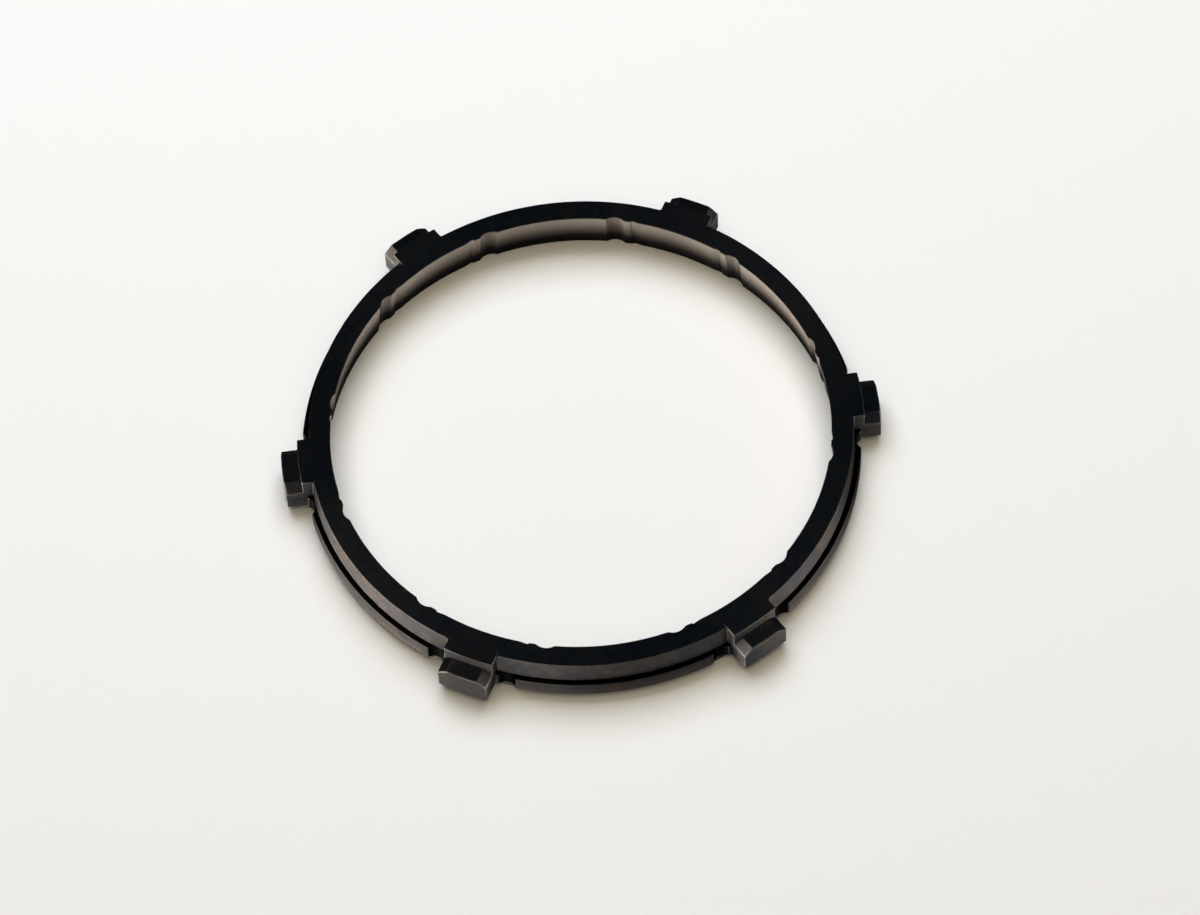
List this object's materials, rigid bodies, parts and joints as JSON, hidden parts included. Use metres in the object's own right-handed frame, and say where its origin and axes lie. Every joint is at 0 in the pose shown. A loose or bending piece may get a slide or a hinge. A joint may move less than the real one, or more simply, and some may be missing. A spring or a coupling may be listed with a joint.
{
  "type": "synchronizer ring",
  "caption": "Steel synchronizer ring with a conical friction bore, axial oil grooves and chamfered blocking lugs, which brings a gear to shaft speed before a gearshift engages.",
  "frame": {"origin": "on the ring's axis, in the plane of its large-end face, which it rests on", "axes": "+Z along the axis, from the large end to the small end of the friction cone; +X through the middle of one lug"},
  "size_m": [0.188, 0.1752, 0.0156],
  "materials": {
    "black_oxide_steel": "black oxide over turned and milled steel, satin"
  },
  "bodies": {
    "root": {"synchronizer_ring": "black_oxide_steel"}
  },
  "joints": []
}
